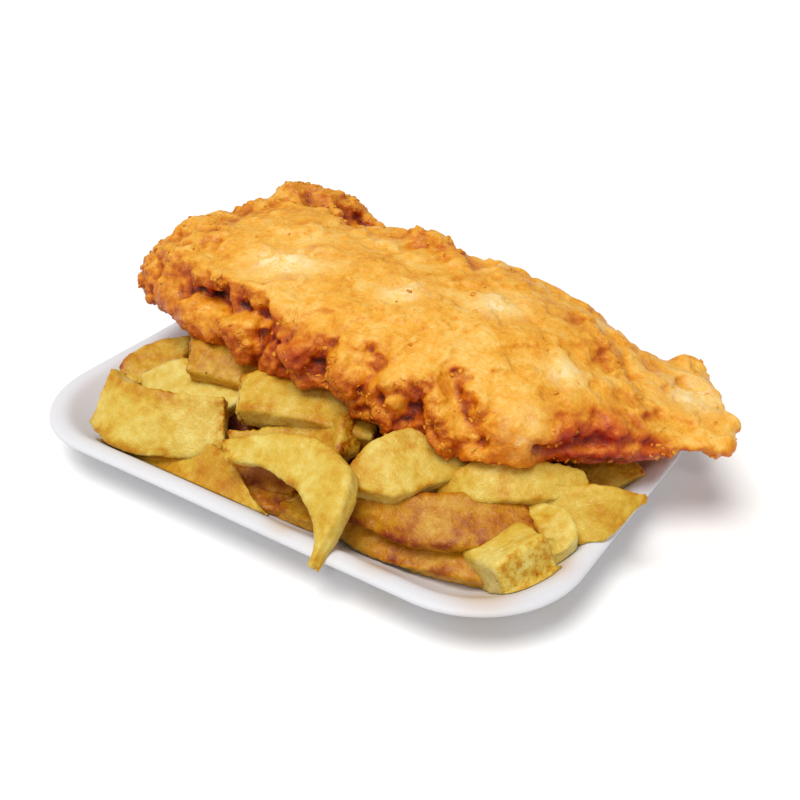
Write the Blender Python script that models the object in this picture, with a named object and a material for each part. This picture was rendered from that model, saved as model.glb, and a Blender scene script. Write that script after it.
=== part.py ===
# A portion of fish and chips in a moulded takeaway tray: the tray, the heap of chips in it, and one
# battered fish that lies across the heap.
#
# Frame: the origin is the centre of the tray's flat underside. +X runs along the tray to the fish's
# tail, +Y to the back, +Z up. Sizes below are in millimetres, and MM turns them into metres.
import math
import random

import bmesh
import bpy
from mathutils import Vector

MM = 0.001
GAP = 0.4  # air kept between two pieces that touch

# --- The tray: a rounded rectangle with a rolled lip ---------------------------------------------
TRAY_LENGTH = 240.0
TRAY_WIDTH = 165.0
TRAY_CORNER = 42.0
TRAY_RIM = 19.0
TRAY_FLOOR = 3.2  # thickness of the floor
CORNER_STEPS = 8

# (inset from the rim's outline, height), up the inside from the floor's edge to the rim's outer edge
INSIDE_PROFILE = (
    (28.0, TRAY_FLOOR),
    (24.5, TRAY_FLOOR + 1.0),
    (18.0, TRAY_FLOOR + 5.4),
    (10.6, TRAY_RIM - 4.2),
    (7.6, TRAY_RIM - 1.3),
    (4.2, TRAY_RIM),
    (1.0, TRAY_RIM - 0.4),
)
# and from that edge back down the outside to the foot
OUTSIDE_PROFILE = (
    (0.0, TRAY_RIM - 1.6),
    (1.2, TRAY_RIM - 3.0),
    (5.0, TRAY_RIM - 3.6),
    (8.6, TRAY_RIM - 6.0),
    (16.0, TRAY_FLOOR + 2.9),
    (21.0, 1.4),
    (25.5, 0.0),
)

# --- The fish: cross-sections along its length ---------------------------------------------------
# (x, near side, far side, underside, top, how far x slides per mm across)
FISH_STATIONS = (
    (-104, 14, 62, 46, 64, 0.36),
    (-100, -5, 82, 38, 68, 0.34),
    (-88, -15, 90, 34, 75, 0.28),
    (-60, -22, 86, 33, 78, 0.15),
    (-25, -27, 80, 33, 76, 0.05),
    (10, -31, 77, 33, 74, 0.0),
    (45, -33, 75, 32, 72, -0.02),
    (75, -26, 72, 31, 64, -0.08),
    (95, -8, 69, 31, 53, -0.2),
    (110, 12, 74, 31, 44, -0.35),
    (120, 20, 84, 32, 40, -0.5),
    (129, 27, 82, 32, 39, -0.5),
    (137, 36, 68, 33, 38, -0.5),
)
FISH_RINGS = 44
FISH_RING_POINTS = 24
FISH_SQUARENESS = 2.5
FISH_WAIST = 0.42  # where along its height a section is widest
FISH_VOXEL = 4.3
FISH_TRIANGLES = 3200

# (centre, half sizes, heading in degrees) of the batter's larger lumps
FISH_LUMPS = (
    ((-80, 62, 72), (13, 12, 10), 30),
    ((-62, 71, 70), (11, 9, 9), 0),
    ((-97, 19, 66), (10, 12, 10), 20),
    ((-98, -4, 52), (11, 9, 10), 0),
    ((-68, -8, 42), (20, 11, 9), 8),
    ((-28, -18, 46), (22, 11, 11), -8),
    ((28, -24, 46), (26, 11, 12), -4),
    ((66, -20, 42), (22, 11, 10), 14),
    ((-3, 60, 72), (15, 5, 6), -4),
    ((80, 46, 53), (16, 9, 5), -40),
    ((106, 11, 36), (21, 8, 5), 26),
    ((109, 76, 37), (9, 9, 4), 0),
)

# --- The chips ------------------------------------------------------------------------------------
# (start, middle, end, width, thickness, roll in degrees, end sizes as parts of the full section)
FRONT_CHIPS = (
    ((-86, -59, 32), (-65, -60, 25), (-31, -46, 25), 27, 11, -50, 0.72, 0.85),
    ((-100, -38, 14), (-104, -17, 22), (-78, -4, 27), 17, 14, -20, 0.5, 0.85),
    ((-81, -40, 18), (-62, -33, 25), (-36, -31, 25), 24, 10, -20, 0.8, 0.8),
    ((-66, -27, 34), (-48, -21, 32), (-15, -14, 28), 20, 16, -30, 0.95, 0.9),
    ((-31, -37, 31), (-14, -29, 31), (22, -21, 28), 22, 16, -35, 0.85, 0.85),
    ((-27, -50, 22), (1, -39, 22), (20, -33, 31), 16, 12, -40, 0.5, 0.9),
    ((-17, -62, 28), (27, -59, 32), (43, -86, 23), 18, 12, -40, 0.5, 0.5),
    ((-83, -62, 9), (-37, -61, 12), (5, -66, 14), 17, 11, -40, 0.6, 0.15),
    ((5, -56, 10), (12, -57, 8), (26, -56, 7), 13, 12, 0, 0.7, 0.8),
    ((36, -54, 28), (46, -40, 32), (56, -15, 30), 22, 15, -25, 0.6, 0.95),
    ((22, -30, 18), (26, -23, 21), (30, -10, 22), 15, 14, 0, 1.0, 1.0),
    ((60, -35, 24), (79, -23, 28), (104, -6, 25), 17, 13, -40, 0.3, 0.75),
    ((80, -22, 15), (107, -22, 22), (124, -7, 25), 21, 10, -55, 0.9, 0.5),
    ((27, -55, 10), (57, -51, 8), (90, -45, 8), 16, 13, -30, 0.6, 0.8),
    ((76, -56, 11), (90, -53, 17), (103, -49, 22), 24, 18, -40, 0.6, 1.0),
    ((91, -30, 24), (107, -35, 25), (107, -47, 18), 13, 13, -20, 0.4, 0.4),
    ((33, -53, 18), (66, -45, 19), (94, -27, 19), 19, 13, -35, 0.5, 0.8),
    ((85, 12, 20), (99, 17, 19), (112, 24, 21), 18, 12, -30, 0.8, 0.4),
    ((-25, -48, 7), (-7, -46, 6), (15, -43, 6), 18, 13, 0, 1.0, 1.0),
)

# Rows of chips that fill the back and the ends: (count, first centre, last centre)
FILL_SEED = 11
FILL_ROWS = (
    (6, (-72, 52, 9), (84, 52, 9)),
    (5, (-66, 42, 22), (74, 44, 21)),
    (3, (-86, -4, 8), (-84, 36, 12)),
    (2, (90, 2, 7), (88, 36, 8)),
)
FILL_LENGTH = (46.0, 68.0)
FILL_WIDTH = (13.0, 18.0)
FILL_THICKNESS = (11.0, 14.0)
FILL_BOW = 7.0
FILL_SWING = 28.0  # how far a chip turns away from its row, in degrees
FILL_TILT = 9.0

CHIP_RINGS = 7
CHIP_RING_POINTS = 8
CHIP_SQUARENESS = 4.0
CHIP_TAPER = 0.4  # how much of a chip's length each tapering end takes
CHIP_ROUNDING = 0.06

# The packed middle of the heap, under the chips: (height, half length, half width)
HEAP_CENTRE = (2.0, 1.0)
HEAP_LAYERS = (
    (TRAY_FLOOR + GAP, 92, 56),
    (8, 94, 61),
    (15, 90, 57),
    (23, 80, 50),
    (31, 60, 34),
)
HEAP_POINTS = 32
HEAP_SQUARENESS = 2.8


def clear_scene():
    for obj in list(bpy.data.objects):
        bpy.data.objects.remove(obj, do_unlink=True)


def material(name, color, roughness):
    made = bpy.data.materials.new(name)
    made.use_nodes = True
    shader = made.node_tree.nodes["Principled BSDF"]
    shader.inputs["Base Color"].default_value = (*color, 1.0)
    shader.inputs["Roughness"].default_value = roughness
    shader.inputs["Metallic"].default_value = 0.0
    return made


def new_object(name, bm):
    mesh = bpy.data.meshes.new(name)
    bm.to_mesh(mesh)
    bm.free()
    obj = bpy.data.objects.new(name, mesh)
    bpy.context.scene.collection.objects.link(obj)
    return obj


def hide_as_cutter(obj):
    obj.hide_render = True
    obj.display_type = "WIRE"


def add_tube(bm, rings):
    """A closed tube through rings of points in metres, with a fan of triangles over each end."""
    loops = [[bm.verts.new(point) for point in ring] for ring in rings]
    count = len(loops[0])
    for below, above in zip(loops, loops[1:]):
        for i in range(count):
            j = (i + 1) % count
            bm.faces.new((below[i], below[j], above[j], above[i]))
    for loop, turned in ((loops[0], True), (loops[-1], False)):
        middle = bm.verts.new(sum((vert.co for vert in loop), Vector()) / count)
        for i in range(count):
            pair = (loop[i], loop[(i + 1) % count])
            bm.faces.new((middle, *(reversed(pair) if turned else pair)))


def superellipse(angle, power):
    """The point at this angle on a unit superellipse: power 2 is a circle, and larger ones are squarer."""
    cosine = math.cos(angle)
    sine = math.sin(angle)
    return (
        math.copysign(abs(cosine) ** (2 / power), cosine),
        math.copysign(abs(sine) ** (2 / power), sine),
    )


def evaluated_mesh(obj):
    graph = bpy.context.evaluated_depsgraph_get()
    return bpy.data.meshes.new_from_object(obj.evaluated_get(graph), depsgraph=graph)


# --- Tray -----------------------------------------------------------------------------------------
def tray_ring(inset, height):
    """One level of the tray, in metres: a rounded rectangle inside the rim's outline by the inset."""
    half_x = TRAY_LENGTH / 2 - inset
    half_y = TRAY_WIDTH / 2 - inset
    radius = TRAY_CORNER - inset * 0.8
    ring = []
    for corner in range(4):
        sign_x = (1, -1, -1, 1)[corner]
        sign_y = (1, 1, -1, -1)[corner]
        for step in range(CORNER_STEPS + 1):
            angle = math.radians(90 * (corner + step / CORNER_STEPS))
            x = sign_x * (half_x - radius) + radius * math.cos(angle)
            y = sign_y * (half_y - radius) + radius * math.sin(angle)
            ring.append(Vector((x, y, height)) * MM)
    return ring


def make_tray():
    profile = tuple(reversed(INSIDE_PROFILE + OUTSIDE_PROFILE))
    bm = bmesh.new()
    add_tube(bm, [tray_ring(inset, height) for inset, height in profile])
    tray = new_object("tray", bm)
    tray.data.materials.append(material("tray", (0.87, 0.87, 0.88), 0.7))
    return tray


def make_tray_cutter():
    """The tray and the space below it, grown by the gap: what the chips have to stay out of."""
    below = -10.0
    profile = [(TRAY_CORNER / 2, below), (-GAP, below), (-GAP, TRAY_RIM - 1.6)]
    profile += [(inset - 0.3 * GAP, height + GAP) for inset, height in reversed(INSIDE_PROFILE[3:])]
    profile += [(inset + 0.8 * GAP, height + 0.8 * GAP) for inset, height in reversed(INSIDE_PROFILE[:3])]
    bm = bmesh.new()
    add_tube(bm, [tray_ring(inset, height) for inset, height in profile])
    cutter = new_object("tray_cutter", bm)
    hide_as_cutter(cutter)
    return cutter


# --- Fish -----------------------------------------------------------------------------------------
def between_stations(place):
    """The station values at a place from 0 to 1 along the fish, on a smooth curve through them all."""
    last = len(FISH_STATIONS) - 1
    index = min(int(place * last), last - 1)
    t = place * last - index
    a, b, c, d = (FISH_STATIONS[min(max(index + k, 0), last)] for k in (-1, 0, 1, 2))
    return [
        0.5 * (2 * q + (r - p) * t + (2 * p - 5 * q + 4 * r - s) * t**2 + (3 * q - p - 3 * r + s) * t**3)
        for p, q, r, s in zip(a, b, c, d)
    ]


def fish_ring(place):
    x, near, far, bottom, top, slide = between_stations(place)
    waist = bottom + (top - bottom) * FISH_WAIST
    ring = []
    for i in range(FISH_RING_POINTS):
        across, up = superellipse(math.tau * i / FISH_RING_POINTS, FISH_SQUARENESS)
        offset = across * (far - near) / 2
        height = waist + up * ((top - waist) if up > 0 else (waist - bottom))
        ring.append(Vector((x + slide * offset, (near + far) / 2 + offset, height)) * MM)
    return ring


def add_lump(bm, centre, half_sizes, heading):
    made = bmesh.ops.create_icosphere(bm, subdivisions=3, radius=1.0)
    turn = math.radians(heading)
    for vert in made["verts"]:
        x, y, z = (value * half for value, half in zip(vert.co, half_sizes))
        turned = (x * math.cos(turn) - y * math.sin(turn), x * math.sin(turn) + y * math.cos(turn), z)
        vert.co = (Vector(turned) + Vector(centre)) * MM


def make_fish():
    bm = bmesh.new()
    add_tube(bm, [fish_ring(i / (FISH_RINGS - 1)) for i in range(FISH_RINGS)])
    for centre, half_sizes, heading in FISH_LUMPS:
        add_lump(bm, centre, half_sizes, heading)
    fish = new_object("battered_fish", bm)
    fish.data.materials.append(material("batter", (0.72, 0.42, 0.12), 0.45))
    merge = fish.modifiers.new("merge", "REMESH")
    merge.mode = "VOXEL"
    merge.voxel_size = FISH_VOXEL * MM
    soften = fish.modifiers.new("soften", "SMOOTH")
    soften.factor = 0.5
    soften.iterations = 1
    triangles = 2 * len(evaluated_mesh(fish).polygons)
    thin_out = fish.modifiers.new("thin_out", "DECIMATE")
    thin_out.ratio = min(1.0, FISH_TRIANGLES / triangles)
    return fish


def make_fish_cutter(fish):
    """The fish grown by the gap, for the hollow that it rests in on the heap."""
    cutter = bpy.data.objects.new("fish_cutter", evaluated_mesh(fish))
    bpy.context.scene.collection.objects.link(cutter)
    grow = cutter.modifiers.new("grow", "DISPLACE")
    grow.mid_level = 0.0
    grow.strength = GAP * MM
    hide_as_cutter(cutter)
    return cutter


# --- Chips ----------------------------------------------------------------------------------------
def smooth_step(value):
    value = min(max(value, 0.0), 1.0)
    return value * value * (3 - 2 * value)


def chip_rings(start, middle, end, width, thickness, roll, start_size, end_size):
    """Sections along a bowed chip that runs through three points, narrower towards its ends."""
    start, middle, end = Vector(start), Vector(middle), Vector(end)
    bend = 2 * middle - (start + end) / 2
    turn = math.radians(roll)
    rings = []
    for k in range(CHIP_RINGS):
        t = k / (CHIP_RINGS - 1)
        point = (1 - t) ** 2 * start + 2 * t * (1 - t) * bend + t**2 * end
        along = (2 * (1 - t) * (bend - start) + 2 * t * (end - bend)).normalized()
        side = along.cross(Vector((0, 0, 1))).normalized()
        up = side.cross(along)
        wide = side * math.cos(turn) + up * math.sin(turn)
        thick = up * math.cos(turn) - side * math.sin(turn)
        size = min(
            start_size + (1 - start_size) * smooth_step(t / CHIP_TAPER),
            end_size + (1 - end_size) * smooth_step((1 - t) / CHIP_TAPER),
        )
        size *= min(1.0, 0.8 + 0.2 * min(t, 1 - t) / CHIP_ROUNDING)
        depth = thickness * (0.35 + 0.65 * size)
        ring = []
        for i in range(CHIP_RING_POINTS):
            u, v = superellipse(math.tau * (i + 0.5) / CHIP_RING_POINTS, CHIP_SQUARENESS)
            ring.append((point + wide * (u * width * size / 2) + thick * (v * depth / 2)) * MM)
        rings.append(ring)
    return rings


def fill_chips():
    """Chips of mixed sizes in rows along the back and the ends, each turned a little off its row."""
    rng = random.Random(FILL_SEED)
    chips = []
    for count, first, last in FILL_ROWS:
        first, last = Vector(first), Vector(last)
        row_heading = 0.0 if abs((last - first).x) > abs((last - first).y) else 90.0
        for k in range(count):
            centre = first.lerp(last, k / max(count - 1, 1))
            centre += Vector((rng.uniform(-4, 4), rng.uniform(-3, 3), rng.uniform(-2, 2)))
            heading = math.radians(row_heading + rng.uniform(-FILL_SWING, FILL_SWING))
            tilt = math.radians(rng.uniform(-FILL_TILT, FILL_TILT))
            half = Vector((math.cos(heading), math.sin(heading), math.tan(tilt)))
            half *= rng.uniform(*FILL_LENGTH) / 2
            bow = Vector((0, 0, rng.uniform(-FILL_BOW, FILL_BOW)))
            chips.append(
                (
                    centre - half,
                    centre + bow / 2,
                    centre + half,
                    rng.uniform(*FILL_WIDTH),
                    rng.uniform(*FILL_THICKNESS),
                    rng.uniform(-40, 40),
                    rng.uniform(0.5, 0.95),
                    rng.uniform(0.5, 0.95),
                )
            )
    return chips


def make_core():
    bm = bmesh.new()
    rings = []
    for height, half_length, half_width in HEAP_LAYERS:
        ring = []
        for i in range(HEAP_POINTS):
            u, v = superellipse(math.tau * i / HEAP_POINTS, HEAP_SQUARENESS)
            x = HEAP_CENTRE[0] + u * half_length
            y = HEAP_CENTRE[1] + v * half_width
            ring.append(Vector((x, y, height)) * MM)
        rings.append(ring)
    add_tube(bm, rings)
    return new_object("chip_heap", bm)


def apply_boolean(obj, other, operation):
    """Joins the other object to this one, or cuts it away, and keeps the result as this one's mesh."""
    boolean = obj.modifiers.new(operation.lower(), "BOOLEAN")
    boolean.operation = operation
    boolean.object = other
    result = evaluated_mesh(obj)
    obj.modifiers.clear()
    obj.data = result


def keep_largest_body(obj):
    """Deletes the slivers that a cut leaves beside the one large body."""
    bm = bmesh.new()
    bm.from_mesh(obj.data)
    unseen = set(bm.verts)
    bodies = []
    while unseen:
        body = {unseen.pop()}
        edge_of_search = set(body)
        while edge_of_search:
            beyond = {edge.other_vert(vert) for vert in edge_of_search for edge in vert.link_edges}
            edge_of_search = beyond - body
            body |= edge_of_search
        unseen -= body
        bodies.append(body)
    largest = max(bodies, key=len)
    bmesh.ops.delete(bm, geom=[vert for vert in bm.verts if vert not in largest], context="VERTS")
    bm.to_mesh(obj.data)
    bm.free()


def make_heap(tray_cutter, fish_cutter):
    heap = make_core()
    for number, chip in enumerate((*FRONT_CHIPS, *fill_chips())):
        bm = bmesh.new()
        add_tube(bm, chip_rings(*chip))
        piece = new_object(f"chip_{number}", bm)
        apply_boolean(heap, piece, "UNION")
        bpy.data.objects.remove(piece, do_unlink=True)
    apply_boolean(heap, tray_cutter, "DIFFERENCE")
    apply_boolean(heap, fish_cutter, "DIFFERENCE")
    keep_largest_body(heap)
    heap.data.materials.clear()
    heap.data.materials.append(material("chips", (0.78, 0.60, 0.22), 0.5))
    return heap


def main():
    clear_scene()
    make_tray()
    fish = make_fish()
    make_heap(make_tray_cutter(), make_fish_cutter(fish))


main()
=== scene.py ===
# %% [markdown]
# # Fish and chips in a takeaway tray
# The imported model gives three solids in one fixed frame: the tray, the heap of chips and the fish.
# This lesson dresses them. Each solid is replaced by a finer mesh of the same size in the same
# place, and gets a material made of nodes, so that nothing depends on a picture file.

import math
import random

import bmesh
import bpy
import numpy as np
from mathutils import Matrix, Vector
from mathutils.bvhtree import BVHTree


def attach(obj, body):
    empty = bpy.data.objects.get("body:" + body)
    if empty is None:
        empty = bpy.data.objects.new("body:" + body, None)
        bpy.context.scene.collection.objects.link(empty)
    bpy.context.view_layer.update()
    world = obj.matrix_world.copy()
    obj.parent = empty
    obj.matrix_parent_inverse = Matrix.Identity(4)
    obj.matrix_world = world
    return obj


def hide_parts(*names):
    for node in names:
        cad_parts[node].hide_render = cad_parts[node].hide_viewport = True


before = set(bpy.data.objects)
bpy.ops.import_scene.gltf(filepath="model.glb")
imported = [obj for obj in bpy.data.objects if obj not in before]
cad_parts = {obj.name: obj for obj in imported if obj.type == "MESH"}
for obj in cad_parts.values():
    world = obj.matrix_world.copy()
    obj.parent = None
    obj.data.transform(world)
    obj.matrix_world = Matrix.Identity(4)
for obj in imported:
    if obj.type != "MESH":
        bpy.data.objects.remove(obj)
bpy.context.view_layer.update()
MM = 0.001

# %% [markdown]
# ## A small language for nodes
# Material and geometry trees are both graphs of nodes. Writing them link by link is hard to read,
# so a Wire stands for one output, and ordinary arithmetic on wires adds the Math nodes. Every other
# node comes from Net.node, which takes the node's type, its settings and what goes into it.

# %% Wires and nets
class Wire:
    """One output of a node. Adding, multiplying and so on makes Math nodes."""

    def __init__(self, net, socket):
        self.net = net
        self.socket = socket

    def out(self, name):
        return Wire(self.net, self.socket.node.outputs[name])

    def __add__(self, other):
        return self.net.math("ADD", self, other)

    def __sub__(self, other):
        return self.net.math("SUBTRACT", self, other)

    def __rsub__(self, other):
        return self.net.math("SUBTRACT", other, self)

    def __mul__(self, other):
        return self.net.math("MULTIPLY", self, other)

    __radd__ = __add__
    __rmul__ = __mul__

    def ramp(self, low, high):
        """0 below low, 1 above high and a smooth rise between them. low may be above high."""
        settings = {"interpolation_type": "SMOOTHSTEP"}
        sockets = {"Value": self, "From Min": low, "From Max": high}
        return self.net.node("ShaderNodeMapRange", settings, sockets)


class Net:
    """Adds nodes to one tree."""

    def __init__(self, tree):
        self.tree = tree

    def node(self, kind, settings=None, sockets=None):
        made = self.tree.nodes.new(kind)
        for name, value in (settings or {}).items():
            if name == "stops":
                self.set_stops(made.color_ramp, value)
            else:
                setattr(made, name, value)
        for name, value in (sockets or {}).items():
            if isinstance(value, Wire):
                self.tree.links.new(value.socket, made.inputs[name])
            else:
                made.inputs[name].default_value = value
        return Wire(self, made.outputs[0]) if made.outputs else made

    def set_stops(self, ramp, stops):
        while len(ramp.elements) < len(stops):
            ramp.elements.new(0.5)
        for element, (place, color) in zip(ramp.elements, stops):
            element.position = place
            element.color = (*color, 1.0)

    def math(self, operation, first, second):
        return self.node("ShaderNodeMath", {"operation": operation}, {0: first, 1: second})

    def blend(self, factor, first, second):
        """A colour between two colours."""
        sockets = {0: factor, 6: first, 7: second}
        mixed = self.node("ShaderNodeMix", {"data_type": "RGBA", "clamp_factor": True}, sockets)
        return Wire(self, mixed.socket.node.outputs[2])

    def noise(self, place, size, detail=3.0, rough=0.5, warp=0.0):
        """Cloudy noise around 0.5, whose patches are about this many millimetres across."""
        sockets = {"Vector": place, "Scale": 1 / size, "Detail": detail}
        sockets |= {"Roughness": rough, "Distortion": warp}
        return self.node("ShaderNodeTexNoise", None, sockets)

    def crease(self, place, size, warp=0.0):
        """0 along winding lines, and more away from them."""
        return self.math("ABSOLUTE", self.noise(place, size, detail=2.0, warp=warp) - 0.5, 0.0)

    def shake(self, place, scale, detail=2.0):
        """A vector that points a different way from place to place."""
        swirl = self.node("ShaderNodeTexNoise", None, {"Vector": place, "Scale": scale, "Detail": detail})
        return self.vector("SUBTRACT", swirl.out("Color"), (0.5, 0.5, 0.5))

    def cells(self, place, size, feature="SMOOTH_F1", smooth=0.35):
        """The distance to the nearest cell's middle, for cells of about this many millimetres."""
        sockets = {"Vector": place, "Scale": 1 / size}
        if feature == "SMOOTH_F1":
            sockets["Smoothness"] = smooth
        return self.node("ShaderNodeTexVoronoi", {"feature": feature}, sockets)

    def vector(self, operation, first, second):
        return self.node("ShaderNodeVectorMath", {"operation": operation}, {0: first, 1: second})

    def scaled(self, vector, factor):
        sockets = {"Vector": vector, "Scale": factor}
        return self.node("ShaderNodeVectorMath", {"operation": "SCALE"}, sockets)


def srgb(red, green, blue):
    """A colour as a screen shows it, 0 to 255, as the linear values that nodes take."""
    values = (red / 255, green / 255, blue / 255)
    return tuple(v / 12.92 if v <= 0.04045 else ((v + 0.055) / 1.055) ** 2.4 for v in values)


print("a mid yellow in linear values:", [round(v, 3) for v in srgb(225, 190, 84)])

# %% [markdown]
# ## Meshes from numbers, and trees that reshape them
# NumPy makes the main forms, because a whole chip is one array. Geometry Nodes then add the relief,
# because their noise is quick on a hundred thousand points. Each tree ends in Realize Instances and
# Set Material, and its result is read back as a plain mesh, so no modifier is left on a piece.

# %% Mesh helpers
def link(name, data):
    """A new object in the scene that shows this mesh, lamp or camera."""
    obj = bpy.data.objects.new(name, data)
    bpy.context.scene.collection.objects.link(obj)
    return obj


def new_object(name, points, faces):
    mesh = bpy.data.meshes.new(name)
    mesh.from_pydata(points.tolist(), [], faces)
    mesh.shade_smooth()
    return link(name, mesh)


def object_from(name, bm):
    mesh = bpy.data.meshes.new(name)
    bm.to_mesh(mesh)
    bm.free()
    return link(name, mesh)


def points_of(mesh):
    flat = np.empty(len(mesh.vertices) * 3, np.float32)
    mesh.vertices.foreach_get("co", flat)
    return flat.reshape(-1, 3).astype(float) / MM


def normals_of(mesh):
    flat = np.empty(len(mesh.vertices) * 3, np.float32)
    mesh.vertices.foreach_get("normal", flat)
    return flat.reshape(-1, 3).astype(float)


def set_points(mesh, points):
    mesh.vertices.foreach_set("co", (points * MM).astype(np.float32).ravel())
    mesh.update()


def set_attribute(mesh, name, values):
    if name in mesh.attributes:
        mesh.attributes.remove(mesh.attributes[name])
    layer = mesh.attributes.new(name, "FLOAT", "POINT")
    layer.data.foreach_set("value", np.asarray(values, np.float32))


def bake_modifiers(obj):
    """Replaces the object's mesh by what its modifiers make of it."""
    graph = bpy.context.evaluated_depsgraph_get()
    evaluated = obj.evaluated_get(graph)
    mesh = bpy.data.meshes.new_from_object(evaluated, preserve_all_data_layers=True, depsgraph=graph)
    obj.modifiers.clear()
    obj.data = mesh
    obj.data.shade_smooth()


def remesh(obj, voxel, smoothing):
    """Rebuilds the surface as even squares of this many millimetres, which joins what overlaps."""
    rebuild = obj.modifiers.new("rebuild", "REMESH")
    rebuild.mode = "VOXEL"
    rebuild.voxel_size = voxel * MM
    if smoothing:
        soften = obj.modifiers.new("soften", "SMOOTH")
        soften.factor = 0.5
        soften.iterations = smoothing
    bake_modifiers(obj)

# %% Tree and material helpers
def new_tree(name, sizes):
    """A geometry tree with a named number for each size, and the wires of its inputs."""
    tree = bpy.data.node_groups.new(name, "GeometryNodeTree")
    tree.interface.new_socket("Mesh", in_out="OUTPUT", socket_type="NodeSocketGeometry")
    tree.interface.new_socket("Mesh", in_out="INPUT", socket_type="NodeSocketGeometry")
    for label, size in sizes.items():
        socket = tree.interface.new_socket(label, in_out="INPUT", socket_type="NodeSocketFloat")
        socket.default_value = size
    net = Net(tree)
    given = net.node("NodeGroupInput")
    return net, given


def finish_tree(net, geometry, material):
    real = net.node("GeometryNodeRealizeInstances", None, {"Geometry": geometry})
    done = net.node("GeometryNodeSetMaterial", None, {"Geometry": real, "Material": material})
    net.node("NodeGroupOutput", None, {0: done})
    print(net.tree.name, "has", len(net.tree.nodes), "nodes")


def run_tree(obj, net, **sizes):
    modifier = obj.modifiers.new(net.tree.name, "NODES")
    modifier.node_group = net.tree
    for item in net.tree.interface.items_tree:
        label = item.name.lower().replace(" ", "_")
        if item.in_out == "INPUT" and label in sizes:
            modifier[item.identifier] = float(sizes[label])
    bake_modifiers(obj)


def new_material(name):
    made = bpy.data.materials.new(name)
    made.use_nodes = True
    net = Net(made.node_tree)
    shader = made.node_tree.nodes["Principled BSDF"]
    coordinates = net.node("ShaderNodeTexCoord").out("Object")
    return made, net, shader, net.scaled(coordinates, 1 / MM)


def connect(net, shader, **wires):
    for label, wire in wires.items():
        net.tree.links.new(wire.socket, shader.inputs[label.replace("_", " ")])


def set_constants(shader, **values):
    for label, value in values.items():
        shader.inputs[label.replace("_", " ")].default_value = value


def attribute(net, name):
    """A number kept on each point, as a material reads it."""
    return net.node("ShaderNodeAttribute", {"attribute_name": name}).out("Fac")


def named(net, name):
    """The same number, as a geometry tree reads it."""
    return net.node("GeometryNodeInputNamedAttribute", {"data_type": "FLOAT"}, {"Name": name})

# %% [markdown]
# ## Tray
# The tray is moulded foam: a shallow rounded rectangle with a soft rolled lip. A ring of points at
# each height follows the same outline, moved inwards by an inset, and the rings are joined into one
# closed wall. A slow wave in the lip keeps it from looking machined.

# %% Tray material
def foam_material():
    made, net, shader, place = new_material("foam")
    pits = net.noise(place, 1.1, detail=2.0)
    beads = net.cells(place, 2.4)
    cloud = net.noise(place, 45.0, detail=2.0)
    oil = attribute(net, "oil")
    white = net.blend(cloud, (*srgb(222, 222, 226), 1), (*srgb(212, 212, 217), 1))
    # painted contact shadow: the foam turns brown where the chips touch it, and fat there also makes it
    # glossier
    stained_and_shaded = net.blend(oil.ramp(0.1, 1.0), white, (*srgb(200, 164, 112), 1))
    rough = 0.62 - 0.3 * oil + (pits - 0.5) * 0.2
    height = pits * 0.25 + beads * 0.5
    bump = net.node("ShaderNodeBump", None, {"Height": height, "Strength": 0.25, "Distance": 0.0002})
    connect(net, shader, Base_Color=stained_and_shaded, Roughness=rough, Normal=bump)
    set_constants(shader, Specular_IOR_Level=0.35, Subsurface_Weight=0.1)
    set_constants(shader, Subsurface_Radius=(1.0, 1.0, 1.0), Subsurface_Scale=0.003)
    return made


foam = foam_material()
print("foam:", len(foam.node_tree.nodes), "nodes")

# %% Tray mesh
TRAY_LENGTH = 240.0
TRAY_WIDTH = 165.0
TRAY_CORNER = 42.0
TRAY_RIM = 19.0
TRAY_FLOOR = 3.2
# base height, then (inset from the rim's outline, rise from the base), up the inside and down the outside
TRAY_WALL = (
    (TRAY_FLOOR, (28.0, 0), (26.4, 0.25), (24.5, 1.0), (21.4, 3.0), (18.0, 5.4), (14.2, 8.6)),
    (TRAY_RIM, (10.9, -4.2), (9.2, -2.6), (7.6, -1.2), (6.0, -0.3), (4.2, 0), (2.4, -0.15), (1.0, -0.55)),
    (TRAY_RIM, (0.2, -1.2), (0.0, -1.9), (0.4, -2.6), (1.3, -3.1), (3.2, -3.3), (5.4, -3.7), (7.2, -4.7)),
    (TRAY_RIM, (8.8, -6.2)),
    (TRAY_FLOOR, (12.4, 6.4), (16.0, 2.9)),
    (0.0, (18.4, 2.9), (21.0, 1.4), (23.2, 0.4), (25.5, 0)),
)
TRAY_PROFILE = [(inset, base + rise) for base, *part in TRAY_WALL for inset, rise in part]
RING_STEPS = 26  # along a quarter corner
FLOOR_INSETS = (34.0, 44.0)
# (height of the wave in the lip, waves round the tray, start)
LIP_WAVES = ((0.35, 3, 0.6), (0.2, 7, 2.1))
# (middle, reach) of the marks where the chips meet the tray: fat that lowers roughness, and painted contact
# shadow in brown
OIL_AND_SHADOW_SPOTS = (((96, -66), 15), ((60, -72), 10), ((20, -74), 9), ((108, -40), 10))


def tray_ring(inset, height):
    """One level of the tray: a rounded rectangle inside the rim's outline."""
    half = np.array([TRAY_LENGTH, TRAY_WIDTH]) / 2 - inset
    radius = TRAY_CORNER - 0.8 * inset
    angle = np.linspace(0, math.pi / 2, RING_STEPS)
    arc = radius * np.stack([np.cos(angle), np.sin(angle)], 1)
    corners = []
    for quarter, signs in enumerate(((1, 1), (-1, 1), (-1, -1), (1, -1))):
        turn = quarter * math.pi / 2
        turned = arc @ np.array([[math.cos(turn), math.sin(turn)], [-math.sin(turn), math.cos(turn)]])
        corners.append(turned + (half - radius) * signs)
    ring = []
    for here, following in zip(corners, corners[1:] + corners[:1]):
        straight = np.linspace(here[-1], following[0], RING_STEPS)[1:-1]
        ring += [here, straight]
    flat = np.concatenate(ring)
    return np.column_stack([flat, np.full(len(flat), height)])


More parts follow.
